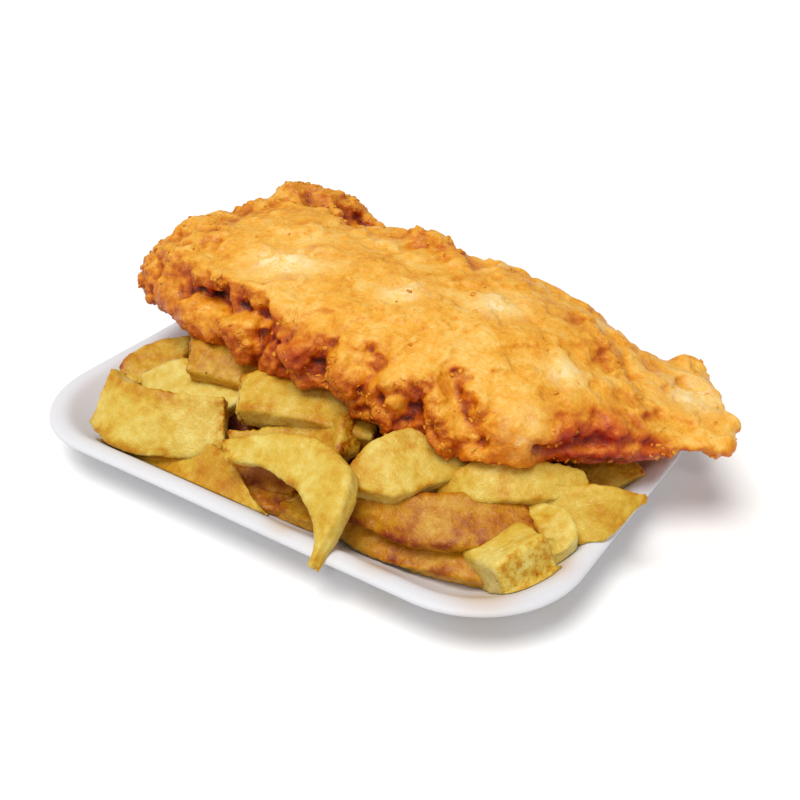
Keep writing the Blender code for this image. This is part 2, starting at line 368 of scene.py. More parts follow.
def sweep(rings):
    """Points and faces of a closed tube through equal rings, with a fan over each end."""
    count = len(rings[0])
    points = np.concatenate([*rings, [rings[0].mean(axis=0)], [rings[-1].mean(axis=0)]])
    faces = []
    for level in range(len(rings) - 1):
        for i in range(count):
            a = level * count + i
            b = level * count + (i + 1) % count
            faces.append((a, b, b + count, a + count))
    first, last = len(points) - 2, len(points) - 1
    top = (len(rings) - 1) * count
    for i in range(count):
        j = (i + 1) % count
        faces.append((first, j, i))
        faces.append((last, top + i, top + j))
    return points, faces


def make_tray():
    rings = [tray_ring(inset, height) for inset, height in reversed(TRAY_PROFILE)]
    floor_height = TRAY_PROFILE[0][1]
    rings += [tray_ring(inset, floor_height) for inset in FLOOR_INSETS]
    points, faces = sweep(rings)
    lip = np.clip(points[:, 2] / TRAY_RIM, 0, 1) ** 2
    around = np.arctan2(points[:, 1] / TRAY_WIDTH, points[:, 0] / TRAY_LENGTH)
    for height, waves, start in LIP_WAVES:
        points[:, 2] += lip * height * np.sin(waves * around + start)
    tray = new_object("tray_shell", points * MM, faces)
    # painted contact shadow and fat near the chips, below the rim only
    oil = np.zeros(len(points))
    for spot, reach in OIL_AND_SHADOW_SPOTS:
        away = np.hypot(points[:, 0] - spot[0], points[:, 1] - spot[1])
        oil = np.maximum(oil, np.exp(-((away / reach) ** 2)))
    set_attribute(tray.data, "oil", oil * (points[:, 2] < TRAY_RIM + 1) * 0.6)
    tray.data.materials.append(foam)
    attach(tray, "root")
    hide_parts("tray")
    print("tray:", len(points), "points")
    return tray


tray = make_tray()

# %% [markdown]
# ## Chips
# A chip is a bar of potato with a soft square section that bows and narrows towards its ends. Three
# points fix its bow, and a roll turns its wide face. Rows much like these place the raised forms on
# the solid heap, so each chip here lies on or close to the form that stands for it in the simulation.

# %% Places of the chips
# start, middle, end, width, thickness, roll in degrees, end sizes as parts of the full section
FRONT_CHIPS = (
    ((-84, -58, 27), (-62, -60, 24), (-31, -46, 25), 27, 11, -50, 0.8, 0.88),
    ((-94, -43, 16), (-96, -24, 19), (-82, -11, 23), 16, 13, -14, 0.45, 0.95),
    ((-81, -40, 18), (-62, -33, 25), (-36, -31, 25), 24, 10, -20, 0.8, 0.8),
    ((-66, -27, 34), (-48, -21, 33), (-15, -14, 28), 20, 16, -30, 0.95, 0.9),
    ((-31, -38, 32), (-14, -30, 32), (22, -21, 28), 21, 17, -14, 0.8, 0.85),
    ((-27, -50, 22), (1, -39, 22), (20, -33, 33), 16, 12, -40, 0.5, 0.9),
    ((-17, -62, 28), (27, -59, 32), (47, -88, 20), 19, 12, -40, 0.45, 0.14),
    ((-83, -62, 9), (-37, -61, 12), (7, -67, 14), 17, 10, -40, 0.6, 0.1),
    ((5, -56, 10), (12, -57, 8), (26, -56, 7), 13, 12, 0, 0.7, 0.8),
    ((30, -57, 26), (46, -39, 32), (57, -14, 31), 25, 14, -30, 0.12, 1.0),
    ((22, -30, 18), (26, -23, 21), (30, -10, 22), 15, 14, 0, 1.0, 1.0),
    ((59, -35, 24), (79, -24, 29), (104, -6, 25), 17, 13, -35, 0.25, 0.75),
    ((82, -24, 17), (106, -18, 23), (126, -4, 24), 16, 9, -50, 1.0, 0.15),
    ((27, -55, 10), (57, -51, 8), (90, -45, 8), 16, 13, -30, 0.6, 0.8),
    ((79, -35, 8), (92, -42, 12), (105, -49, 17), 23, 21, -16, 0.75, 1.0),
    ((87, -23, 22), (104, -28, 20), (104, -35, 11), 13, 12, -20, 0.35, 0.5),
    ((33, -53, 18), (66, -45, 19), (94, -27, 19), 19, 13, -35, 0.5, 0.8),
    ((85, 12, 20), (99, 17, 19), (112, 24, 21), 18, 12, -30, 0.8, 0.4),
    ((-25, -48, 7), (-7, -46, 6), (15, -43, 6), 18, 13, 0, 1.0, 1.0),
    ((-38, -50, 12), (-16, -50, 11), (8, -48, 13), 16, 12, -25, 0.7, 0.8),
    ((-30, -58, 9), (-8, -58, 8), (12, -55, 8), 13, 11, -20, 0.5, 0.7),
)

FILL_SEED = 11
# rows of chips that fill the back and the ends: count, first centre, last centre
FILL_ROWS = (
    (6, (-72, 52, 9), (84, 52, 9)),
    (5, (-66, 42, 22), (74, 44, 21)),
    (3, (-86, -4, 8), (-84, 36, 12)),
    (2, (90, 2, 7), (88, 36, 8)),
)
FILL_LENGTH = (46.0, 68.0)
FILL_WIDTH = (13.0, 18.0)
FILL_THICKNESS = (11.0, 14.0)
FILL_BOW = 7.0
FILL_SWING = 28.0
FILL_TILT = 9.0


def fill_chips():
    """Chips of mixed sizes in rows, each turned a little off its row."""
    rng = random.Random(FILL_SEED)
    chips = []
    for count, first, last in FILL_ROWS:
        first, last = Vector(first), Vector(last)
        row_heading = 0.0 if abs((last - first).x) > abs((last - first).y) else 90.0
        for k in range(count):
            centre = first.lerp(last, k / max(count - 1, 1))
            centre += Vector((rng.uniform(-4, 4), rng.uniform(-3, 3), rng.uniform(-2, 2)))
            heading = math.radians(row_heading + rng.uniform(-FILL_SWING, FILL_SWING))
            tilt = math.radians(rng.uniform(-FILL_TILT, FILL_TILT))
            half = Vector((math.cos(heading), math.sin(heading), math.tan(tilt)))
            half *= rng.uniform(*FILL_LENGTH) / 2
            bow = Vector((0, 0, rng.uniform(-FILL_BOW, FILL_BOW)))
            sizes = (rng.uniform(*FILL_WIDTH), rng.uniform(*FILL_THICKNESS), rng.uniform(-40, 40))
            ends = (rng.uniform(0.5, 0.95), rng.uniform(0.5, 0.95))
            chips.append((centre - half, centre + bow / 2, centre + half, *sizes, *ends))
    return chips


print("chips in front:", len(FRONT_CHIPS), "and in rows behind:", sum(row[0] for row in FILL_ROWS))

# %% [markdown]
# ## How a chip is cut and fried
# A potato cut by hand gives flat slabs, square bars, wedges and rounded outer pieces. One section
# with three numbers covers them all: how square it is, how much one face is narrower, and how round
# its back is. A tone says how brown each chip is fried, and a slant cuts an end off at an angle.

# %% How each chip was cut
# squareness of the section, lean (one face narrower than the other), belly (how round the back is)
CUTS = {
    "slab": (12.0, 0.0, 0.3), "bar": (9.0, 0.15, 0.15), "wedge": (9.0, 0.4, 0.35), "skin": (6.0, 0.1, 0.75),
}

# cut, tone from pale 0 to brown 1, twist in degrees, slant of each end, and side that the last end
# points to. What a row leaves out is 0.
FRONT_LOOKS = (
    ("slab", 0.12, 6, 0.45),
    ("bar", 0.3, 0, 0.3),
    ("bar", 0.0, 10, 0.2, -0.2),
    ("slab", 0.5, -8, 0.1, 0.2),
    ("bar", 0.25, 8, -0.2, 0.3),
    ("bar", 0.36, 18, 0.4, -0.3),
    ("skin", 0.16, 8, 0.4, 0.0, 0.6),
    ("wedge", 0.36, -14, 0.0, 0.0, 0.3),
    ("bar", 0.55),
    ("slab", 0.14, -16, 0.2, 0.2),
    ("bar", 0.9, 0, 0.2, 0.2),
    ("slab", 0.26, 16, 0.0, 0.3),
    ("wedge", 0.24, -10, 0.0, 0.0, -0.7),
    ("bar", 0.5, 20, 0.0, 0.2),
    ("slab", 0.04, 6),
    ("skin", 0.02),
    ("bar", 0.55, 24, 0.3, 0.2),
    ("bar", 0.4, 0, 0.0, 0.3),
    ("bar", 0.8),
    ("bar", 0.7, 10, 0.2),
    ("bar", 0.65, 0, 0.2),
)
print("cuts:", ", ".join(CUTS))

# %% The section of a chip
SECTION_STEPS = 1441


def smooth_step(value):
    value = np.clip(value, 0, 1)
    return value * value * (3 - 2 * value)


def soft_square(angle, squareness):
    """Points between a circle, at squareness 2, and a square, as it grows."""
    u, v = np.cos(angle), np.sin(angle)
    return np.sign(u) * np.abs(u) ** (2 / squareness), np.sign(v) * np.abs(v) ** (2 / squareness)


def section(count, squareness, lean, belly):
    """Evenly spaced points on a soft square, and how near each one is to a corner."""
    u, v = soft_square(np.linspace(0, math.tau, SECTION_STEPS), squareness)
    corner = smooth_step((np.abs(u * v) - 0.55) / 0.35)
    v = np.where(v < 0, v * (1 - belly * u * u), v)
    u = u * (1 + lean * v)
    walked = np.concatenate([[0], np.cumsum(np.hypot(np.diff(u), np.diff(v)))])
    wanted = np.linspace(0, walked[-1], count, endpoint=False)
    return [np.interp(wanted, walked, values) for values in (u, v, corner)]

# %% One chip
CHIP_TAPER = 0.4
CHIP_END_ROUNDING = 1.8
SLANT_REACH = 0.35
LEAST_HALF = 0.3
CAP_RINGS = (0.35, 0.7, 1.0)  # rings that close an end, as parts of half its thickness
FRONT_DETAIL = (52, 54, 4)  # points round a section, sections, sections over an end's edge
FILL_DETAIL = (32, 30, 3)


def chip(places, look, detail):
    """Points, faces, edge values and tip values of one chip."""
    start, middle, end, width, thickness, roll, start_size, end_size = places
    cut, _, twist, start_slant, end_slant, end_side = (*look, 0, 0, 0, 0)[:6]
    start, middle, end = (np.array(p, float) for p in (start, middle, end))
    bend = 2 * middle - (start + end) / 2
    around, sections, over_edge = detail
    u, v, corner = section(around, *CUTS[cut])
    rings, edges, tips = [], [], []

    def add_ring(t, shrink, beyond):
        """A section at t along the chip, shrunk by some millimetres and moved on along it."""
        point = (1 - t) ** 2 * start + 2 * t * (1 - t) * bend + t**2 * end
        along = 2 * (1 - t) * (bend - start) + 2 * t * (end - bend)
        along /= np.linalg.norm(along)
        side = np.cross(along, (0, 0, 1))
        side /= np.linalg.norm(side)
        up = np.cross(side, along)
        turn = math.radians(roll + twist * (t - 0.5))
        wide = side * math.cos(turn) + up * math.sin(turn)
        thick = up * math.cos(turn) - side * math.sin(turn)
        size = min(
            start_size + (1 - start_size) * smooth_step(t / CHIP_TAPER),
            end_size + (1 - end_size) * smooth_step((1 - t) / CHIP_TAPER),
        )
        aside = end_side * (1 - size) * width / 2 * (t > 0.5)
        half_width = max(width * size / 2 - shrink, LEAST_HALF)
        half_depth = max(thickness * (0.35 + 0.65 * size) / 2 - shrink, LEAST_HALF)
        slant = start_slant * (1 - smooth_step(t / SLANT_REACH))
        slant += end_slant * (1 - smooth_step((1 - t) / SLANT_REACH))
        ring = point + along * beyond + wide * aside
        ring = ring + np.outer(u * half_width, wide + along * slant) + np.outer(v * half_depth, thick)
        rings.append(ring)
        edges.append(corner)
        tips.append(np.full(around, 1 - min(t, 1 - t) * 2))

    inner = thickness / 2
    round_by = min(CHIP_END_ROUNDING, inner * 0.5 * min(start_size, end_size) + 0.4)
    margin = round_by / np.linalg.norm(end - start)
    arcs = [math.pi / 2 * k / over_edge for k in range(over_edge)]
    for part in reversed(CAP_RINGS):
        add_ring(0.0, inner * part + round_by, 0.0)
    for angle in arcs:
        add_ring(0.0, round_by * (1 - math.sin(angle)), round_by * (1 - math.cos(angle)))
    for k in range(sections):
        add_ring(margin + (1 - 2 * margin) * k / (sections - 1), 0.0, 0.0)
    for angle in reversed(arcs):
        add_ring(1.0, round_by * (1 - math.sin(angle)), -round_by * (1 - math.cos(angle)))
    for part in CAP_RINGS:
        add_ring(1.0, inner * part + round_by, 0.0)
    points, faces = sweep(rings)
    return points, faces, np.concatenate([*edges, [0, 0]]), np.concatenate([*tips, [1, 1]])


print("points in a front chip:", len(chip(FRONT_CHIPS[0], FRONT_LOOKS[0], FRONT_DETAIL)[0]))

# %% [markdown]
# ## Potato skin
# Frying dries the cut faces unevenly: they sink in slow waves, pucker and wrinkle. A geometry tree
# pushes the surface along its normal by three sizes of noise. The browner a chip is, the drier it
# is, so its tone also scales the wrinkles.

# %% Potato relief
def potato_relief(name, material):
    sizes = {"Wave": 1.5, "Dent": 0.8, "Wrinkle": 0.3}
    net, given = new_tree(name, sizes)
    place = net.scaled(net.node("GeometryNodeInputPosition"), 1 / MM)
    tone = named(net, "tone")
    wave = net.noise(place, 22.0, detail=1.0) - 0.5
    dent = net.noise(place, 7.5, detail=2.0, warp=0.6) - 0.5
    wrinkle = (0.1 - net.crease(place, 5.0, warp=1.0)) * 3.0 * (0.5 + tone)
    height = given.out("Wave") * wave + given.out("Dent") * dent + given.out("Wrinkle") * wrinkle
    along = net.scaled(net.node("GeometryNodeInputNormal"), height * 2 * MM)
    moved = net.node("GeometryNodeSetPosition", None, {"Geometry": given, "Offset": along})
    finish_tree(net, moved, material)
    return net

# %% [markdown]
# ## The colour of a chip
# A chip is pale on its broad faces and golden on its edges and thin tips, which fry first. Light
# that has passed from chip to chip turns deeper yellow each time. A shade value measured later says
# how hidden a point is, and raising the colour to a power by it paints that shade into the colour:
# hidden places come out darker and deeper yellow.

# %% Potato material
def potato_material():
    made, net, shader, place = new_material("fried potato")
    cloud = net.noise(place, 13.0, detail=4.0, warp=0.4)
    mottle = net.noise(place, 3.6, detail=4.0, rough=0.65)
    grain = net.noise(place, 0.8, detail=3.0)
    tone, edge, tip = (attribute(net, name) for name in ("tone", "edge", "tip"))
    heat = tone * 0.62 + (cloud - 0.5) * 0.7 + (mottle - 0.5) * 0.5 + 0.12
    heat = heat + edge * (cloud.ramp(0.42, 0.68) * 0.16)
    heat = heat + tip.ramp(0.88, 1.0) * (mottle.ramp(0.4, 0.7) * 0.25)
    stops = (
        (0.0, srgb(243, 235, 190)), (0.25, srgb(236, 218, 148)), (0.5, srgb(225, 190, 84)),
        (0.75, srgb(197, 139, 30)), (1.0, srgb(123, 65, 10)),
    )
    color = net.node("ShaderNodeValToRGB", {"stops": stops}, {"Fac": heat})
    speck = net.cells(place, 9.0, feature="F1").ramp(0.07, 0.03) * net.noise(place, 30.0).ramp(0.5, 0.6)
    color = net.blend(speck * 0.75, color, (*srgb(104, 58, 18), 1))
    # painted shade: the colour is raised to a power that grows with the shade value, so hidden and sideways
    # places come out darker and deeper
    painted_shade_power = attribute(net, "shade") * 1.25 + 0.95
    color = net.node("ShaderNodeGamma", None, {"Color": color, "Gamma": painted_shade_power})
    rough = 0.38 + (mottle - 0.5) * 0.35 + (grain - 0.5) * 0.2
    height = grain * 0.4 + mottle * 1.2 + net.crease(place, 2.4, warp=0.8) * 1.6
    bump = net.node("ShaderNodeBump", None, {"Height": height, "Strength": 0.5, "Distance": 0.0008})
    connect(net, shader, Base_Color=color, Roughness=rough, Normal=bump)
    set_constants(shader, Subsurface_Weight=0.12, Subsurface_Radius=(1.0, 0.75, 0.2))
    set_constants(shader, Subsurface_Scale=0.004, Specular_IOR_Level=0.28)
    return made


potato = potato_material()
print("potato:", len(potato.node_tree.nodes), "nodes")

# %% [markdown]
# ## The heap of chips
# Chips fall on one another anyhow. The front ones have places of their own, and rows with a seeded
# random turn and size fill the rest, coarser because little of them shows. All are joined into one
# mesh, as one piece is quicker to draw and to export than fifty.

# %% The heap of chips
LOOKS_SEED = 5
RELIEF = {"wave": 1.7, "dent": 1.1, "wrinkle": 0.5}


def looks_of_fill(rng, count):
    names = sorted(CUTS)
    looks = []
    for _ in range(count):
        slants = (rng.uniform(-0.4, 0.4), rng.uniform(-0.4, 0.4))
        looks.append((rng.choice(names), rng.uniform(0.25, 0.7), rng.uniform(-20, 20), *slants, 0.0))
    return looks


def join_chips(name, chips):
    """One mesh from rows of (places, look, detail)."""
    all_points, all_faces, values = [], [], {"edge": [], "tip": [], "tone": []}
    offset = 0
    for places, look, detail in chips:
        points, faces, edge, tip = chip(places, look, detail)
        all_points.append(points)
        all_faces += [tuple(i + offset for i in face) for face in faces]
        values["edge"].append(edge)
        values["tip"].append(tip)
        values["tone"].append(np.full(len(points), look[1]))
        offset += len(points)
    heap = new_object(name, np.concatenate(all_points) * MM, all_faces)
    for label, parts in values.items():
        set_attribute(heap.data, label, np.concatenate(parts))
    return heap


def make_chips():
    fill = fill_chips()
    looks = looks_of_fill(random.Random(LOOKS_SEED), len(fill))
    rows = [(places, look, FRONT_DETAIL) for places, look in zip(FRONT_CHIPS, FRONT_LOOKS)]
    rows += [(places, look, FILL_DETAIL) for places, look in zip(fill, looks)]
    chips = join_chips("chips", rows)
    run_tree(chips, potato_relief("potato relief", potato), **RELIEF)
    print("chips:", len(rows), "of them,", len(chips.data.polygons), "faces")
    return chips


chips = make_chips()

# %% [markdown]
# ## Chips lie on the tray
# The lowest chips would pass through the foam. A ray straight down from above each low point finds
# the tray's surface there, and the point is lifted to rest on it, which also flattens the chip's
# underside the way its own weight does.

# %% Rest the chips on the tray
TRAY_CLEARANCE = 0.35
RAY_START = 60.0


def rest_on_tray(obj):
    graph = bpy.context.evaluated_depsgraph_get()
    tree = BVHTree.FromObject(tray, graph)
    points = points_of(obj.data)
    lifted = 0
    for index in np.flatnonzero(points[:, 2] < TRAY_RIM + 3):
        above = Vector((points[index, 0], points[index, 1], RAY_START)) * MM
        found = tree.ray_cast(above, Vector((0, 0, -1)))[0]
        if found and points[index, 2] < found.z / MM + TRAY_CLEARANCE:
            points[index, 2] = found.z / MM + TRAY_CLEARANCE
            lifted += 1
    set_points(obj.data, points)
    print(obj.name, "points lifted onto the tray:", lifted)


rest_on_tray(chips)
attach(chips, "root")
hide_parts("chip_heap")

# %% [markdown]
# ## The imported middle of the heap
# Between the chips that show, others lie in the dark. A smaller mound fills that space so that no
# light comes through, and its dark brown colour is painted shade, so it reads as more chips in the dark
# below.

# %% Heap core
HEAP_CENTRE = (2.0, 1.0)
# (height, half length, half width)
HEAP_LAYERS = ((TRAY_FLOOR, 88, 50), (8, 90, 53), (14, 84, 49), (20, 72, 42), (26, 54, 30))
HEAP_POINTS = 128
HEAP_RINGS = 16
HEAP_SQUARENESS = 2.8
# tone past the darkest brown: painted shade for the chips that lie in the dark below
HEAP_SHADED_LOOK = {"edge": 0.0, "tip": 0.0, "tone": 1.3}


def make_core():
    angle = np.linspace(0, math.tau, HEAP_POINTS, endpoint=False)
    u, v = soft_square(angle, HEAP_SQUARENESS)
    heights = np.linspace(HEAP_LAYERS[0][0], HEAP_LAYERS[-1][0], HEAP_RINGS)
    layers = np.array(HEAP_LAYERS, float)
    rings = []
    for height in heights:
        half_length = np.interp(height, layers[:, 0], layers[:, 1])
        half_width = np.interp(height, layers[:, 0], layers[:, 2])
        x, y = HEAP_CENTRE[0] + u * half_length, HEAP_CENTRE[1] + v * half_width
        rings.append(np.stack([x, y, np.full(HEAP_POINTS, height)], 1))
    points, faces = sweep(rings)
    core = new_object("heap_core", points * MM, faces)
    for label, value in HEAP_SHADED_LOOK.items():
        set_attribute(core.data, label, np.full(len(points), value))
    run_tree(core, potato_relief("core relief", potato), wave=2.0, dent=1.5)
    rest_on_tray(core)
    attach(core, "root")
    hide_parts("chip_heap")
    return core


core = make_core()

# %% [markdown]
# ## Battered fish: the large form
# Batter swells and folds as it fries, so the fillet's outline is only the start. A copy of the solid
# is rebuilt as an even skin, and named ridges, creases, bulges and hollows are pushed into it with a
# bell-shaped falloff, the way a thumb works clay.

# %% Clay tools
def distance_to_path(points, path):
    """How far each point is from a line through the path's points."""
    path = np.array(path, float)
    nearest = np.full(len(points), np.inf)
    for a, b in zip(path[:-1], path[1:]):
        along = np.clip(((points - a) @ (b - a)) / ((b - a) @ (b - a)), 0, 1)
        nearest = np.minimum(nearest, np.linalg.norm(points - a - along[:, None] * (b - a), axis=1))
    return nearest


TAIL_ROOT = ((72, 49, 62), (80, 45, 60), (90, 38, 57), (100, 31, 53), (110, 20, 47))
RED_LOBE = ((90, -18, 44), (97, -11, 45), (105, -2, 44), (113, 8, 42), (121, 16, 40))
FLAKE = ((-12, 56, 74), (20, 52, 73))
# (name, path, width, height): ridges rise by their height and creases go in by theirs
RIDGES = (
    (
        "brow over the pocket",
        ((-93, -3, 66), (-81, -9, 70), (-57, -15, 70), (-36, -18, 68), (-20, -18, 68)), 5.0, 3.5,
    ),
    ("rim of the end lobe", ((-104, -9, 66), (-102, -14, 57), (-94, -18, 50)), 4.5, 0.6),
    ("lower roll", ((-82, -19, 52), (-66, -22, 49), (-48, -25, 49), (-37, -26, 55)), 7.0, 4.0),
    ("tail root", TAIL_ROOT, 3.6, 3.0),
    ("standing flake", ((-14, 56, 74), (-5, 56, 77), (5, 54, 75), (16, 50, 73)), 2.2, 4.0),
    ("tail rib far", ((100, 62, 46), (116, 62, 40), (126, 58, 39)), 2.6, 1.3),
    ("tail rib middle", ((104, 48, 47), (120, 48, 41), (136, 46, 38)), 2.6, 1.3),
    ("tail rib near", ((112, 34, 46), (124, 36, 41), (138, 36, 38)), 2.6, 1.2),
)
CREASES = (
    ("pocket", ((-66, -19, 63), (-49, -22, 63), (-33, -22, 64)), 4.6, 8.0),
    ("end of the roll", ((-32, -22, 67), (-30, -27, 58), (-31, -27, 46)), 3.0, 5.0),
    ("after the blisters", ((3, -25, 65), (2, -30, 55), (5, -31, 44)), 3.2, 4.5),
    ("second valley", ((25, -26, 65), (25, -32, 54), (29, -32, 43)), 3.4, 4.5),
    ("third valley", ((46, -27, 63), (46, -33, 52), (49, -33, 42)), 3.4, 4.0),
    ("brown valley", ((57, -22, 61), (66, -28, 54), (72, -29, 46)), 4.2, 5.0),
    ("over the red lobe", RED_LOBE, 3.0, 5.0),
    ("behind the tail root", ((84, 54, 57), (96, 43, 53), (107, 32, 49)), 4.0, 1.8),
)
BULGES = (
    ("blister clump", (-8, -27, 57), 9.0, 3.5),
    ("small blister", (-22, -22, 64), 6.0, 3.0),
    ("first cheek", (14, -29, 56), 9.0, 4.0),
    ("second cheek", (36, -31, 55), 9.0, 3.5),
    ("third cheek", (56, -31, 50), 8.0, 3.0),
    ("pale cheek", (84, -19, 48), 12.0, 3.5),
    ("hollow by the end lobe", (-79, -17, 61), 8.0, -5.0),
    ("crest clump left", (-89, 46, 77), 9.0, 4.5),
    ("crest peak", (-87, 67, 78), 10.0, -3.5),
    ("gap after the crest", (-46, 69, 73), 11.0, -9.0),
    ("gap beside the crest", (-43, 62, 80), 10.0, -5.0),
    ("dip in the far edge", (0, 69, 70), 10.0, -5.0),
    ("swell in the far edge", (32, 79, 64), 14.0, 2.0),
    ("shoulder", (-102, 12, 73), 8.0, 2.5),
    ("far edge of the tail", (104, 75, 43), 13.0, 3.0),
    ("tip of the tail", (137, 44, 38), 7.0, 3.0),
)


def knead(points, normals):
    """Moves the points by every ridge, crease and bulge, along the skin's own direction."""
    lift = np.zeros(len(points))
    for _, path, width, height in RIDGES:
        lift += height * np.exp(-((distance_to_path(points, path) / width) ** 2))
    for _, path, width, depth in CREASES:
        lift -= depth * np.exp(-((distance_to_path(points, path) / width) ** 2))
    for _, centre, width, height in BULGES:
        lift += height * np.exp(-((np.linalg.norm(points - centre, axis=1) / width) ** 2))
    return points + normals * lift[:, None]


print("ridges:", len(RIDGES), "creases:", len(CREASES), "bulges and hollows:", len(BULGES))

# %% [markdown]
# ## Battered fish: crag
# Batter is smooth and taut over the top of the fillet and craggy along its sides and ends. A crag
# value on each point says which it is, and scales the relief that a geometry tree adds. A second
# value, calm, holds back the small relief in the folds at the thick end, where the batter ran thin.

# %% Where the batter is craggy
# (middle, reach)
CALM_SPOTS = (
    ((-86, -17, 60), 11), ((-74, -20, 52), 9), ((-58, -23, 50), 8), ((-44, -25, 50), 6), ((84, -19, 48), 9),
)


def crag_of(points, normals):
    x, y, z = points.T
    near_side = smooth_step((-normals[:, 1] - 0.36) / 0.4)
    near_side *= 1 - 0.5 * smooth_step((x - 64) / 14) * smooth_step((104 - x) / 10)
    left_end = smooth_step((-62 - x) / 24) * (0.75 + 0.25 * smooth_step((64 - z) / 8))
    far_edge = smooth_step((y - 42) / 16) * (0.3 + 0.7 * smooth_step((-26 - x) / 22))
    along = [
        np.exp(-((distance_to_path(points, path) / reach) ** 2)) * 0.8
        for path, reach in ((TAIL_ROOT, 8), (RED_LOBE, 9), (FLAKE, 7))
    ]
    below = smooth_step((-normals[:, 2] - 0.2) / 0.5) * 0.6
    return np.clip(np.maximum.reduce([near_side, left_end, far_edge, *along, below]), 0.0, 1.0)


def spots_of(points, spots):
    """1 in the middle of each spot and 0 well outside it."""
    found = np.zeros(len(points))
    for centre, reach in spots:
        found = np.maximum(found, np.exp(-((np.linalg.norm(points - centre, axis=1) / reach) ** 2)))
    return found

# %% [markdown]
# ## Batter relief
# Bubbles of steam lift wet batter into round lobes, lumps and blisters, and it sets in folds between
# them. Cells bent by a swirling noise give the round forms, and the line where a noise crosses its
# middle value gives the folds. One tree with a size for each kind serves the large, medium and small relief.

# %% Batter relief
def batter_relief(name, material):
    kinds = ("Lobe", "Lump", "Blister", "Fold", "Grit", "Wave", "Flake")
    net, given = new_tree(name, dict.fromkeys(kinds, 0.0))
    place = net.scaled(net.node("GeometryNodeInputPosition"), 1 / MM)
    bent = net.vector("ADD", place, net.scaled(net.shake(place, 1 / 12), 12.0))
    crag = named(net, "crag")
    calm = named(net, "calm")
    busy = net.noise(place, 16.0, detail=1.0).ramp(0.35, 0.62)
    lobe = 0.45 - net.cells(bent, 16.0, smooth=0.5)
    lump = 0.42 - net.cells(bent, 8.5, smooth=0.4)
    blister = (0.42 - net.cells(bent, 4.2, smooth=0.3)) * (0.35 + busy)
    fold = 0.22 - net.crease(bent, 10.0) * 2
    grit = net.noise(place, 1.8, detail=2.0) - 0.5
    wave = net.noise(place, 22.0, detail=2.0) - 0.5
    flake = net.noise(bent, 14.0, detail=3.0).ramp(0.5, 0.54) - 0.5
    large = given.out("Lobe") * lobe + given.out("Fold") * fold
    small = given.out("Lump") * lump + given.out("Blister") * blister + given.out("Grit") * grit
    rough = large + small * (1.0 - calm * 0.8)
    height = crag * rough + given.out("Wave") * wave + given.out("Flake") * flake * (1.0 - calm)
    along = net.scaled(net.node("GeometryNodeInputNormal"), height * MM)
    moved = net.node("GeometryNodeSetPosition", None, {"Geometry": given, "Offset": along})
    finish_tree(net, moved, material)
    return net

# %% [markdown]
# ## The colour of batter
# Fried batter runs from pale gold where it is thin and taut, through orange, to red-brown where it is
# thick or raised, and it is darkened in folds as painted shade. Heat is one number for all of this,
# and a ramp turns it to a colour. It is built from the crag value, three sizes of noise and the skin's
# own ridges and hollows.

# %% Heat of the batter
def batter_heat_and_shade(net, place):
    """How brown the batter is, with painted shade in its hollows, and the noises that its other finishes
    share.
    """
    bent = net.vector("ADD", place, net.scaled(net.shake(place, 1 / 9), 8.0))
    cloud = net.noise(bent, 15.0, detail=3.0)
    mottle = net.noise(bent, 5.0, detail=4.0, rough=0.65)
    speckle = net.noise(place, 1.7, detail=4.0, rough=0.7)
    crag = attribute(net, "crag")
    heat = 0.38 + crag * 0.11 + (cloud - 0.5) * 0.65 + (mottle - 0.5) * 0.55 + (speckle - 0.5) * 0.42
    # painted shade: hollows in the skin make the batter browner, and raised points make it a little paler
    heat = heat + attribute(net, "hollow") * (crag * 0.3 + 0.12) - attribute(net, "relief") * 0.05
    heat = heat - attribute(net, "pale") * 0.2 + attribute(net, "red") * 0.25
    return heat, bent, cloud, mottle, speckle

# %% Batter material
def batter_material():
    made, net, shader, place = new_material("fried batter")
    heat, bent, cloud, mottle, speckle = batter_heat_and_shade(net, place)
    crag, pale, red = (attribute(net, name) for name in ("crag", "pale", "red"))
    stops = (
        (0.0, srgb(247, 217, 150)), (0.2, srgb(240, 195, 104)), (0.4, srgb(233, 168, 50)),
        (0.6, srgb(212, 132, 22)), (0.8, srgb(180, 96, 10)), (1.0, srgb(118, 58, 8)),
    )
    color = net.node("ShaderNodeValToRGB", {"stops": stops}, {"Fac": heat})
    color = net.blend(pale * mottle.ramp(0.44, 0.6) * 0.75, color, (*srgb(250, 230, 184), 1))
    color = net.blend(red * cloud.ramp(0.36, 0.56) * 0.65, color, (*srgb(206, 84, 14), 1))
    freckle = net.cells(bent, 4.0, feature="F1").ramp(0.2, 0.08) * net.noise(place, 10.0).ramp(0.48, 0.6)
    color = net.blend(freckle * 0.6, color, (*srgb(198, 108, 28), 1))
    speck = net.cells(place, 13.0, feature="F1").ramp(0.05, 0.02)
    color = net.blend(speck * 0.8, color, (*srgb(84, 40, 12), 1))
    # painted shade: the colour is raised to a power that grows with the shade value, so hidden and sideways
    # places come out darker and deeper
    painted_shade_power = attribute(net, "shade") * 0.78 + 1.0
    color = net.node("ShaderNodeGamma", None, {"Color": color, "Gamma": painted_shade_power})
    rough = 0.42 + (mottle - 0.5) * 0.5 + (speckle - 0.5) * 0.4 - crag * 0.12
    height = (speckle * 0.8 + mottle * 1.6 + net.crease(bent, 2.6) * 1.4) * (crag * 0.4 + 0.6)
    bump = net.node("ShaderNodeBump", None, {"Height": height, "Strength": 0.8, "Distance": 0.0009})
    connect(net, shader, Base_Color=color, Roughness=rough, Normal=bump)
    set_constants(shader, Subsurface_Weight=0.12, Subsurface_Radius=(1.0, 0.5, 0.12))
    set_constants(shader, Subsurface_Scale=0.003, Specular_IOR_Level=0.28)
    set_constants(shader, Coat_Weight=0.08, Coat_Roughness=0.12)
    return made


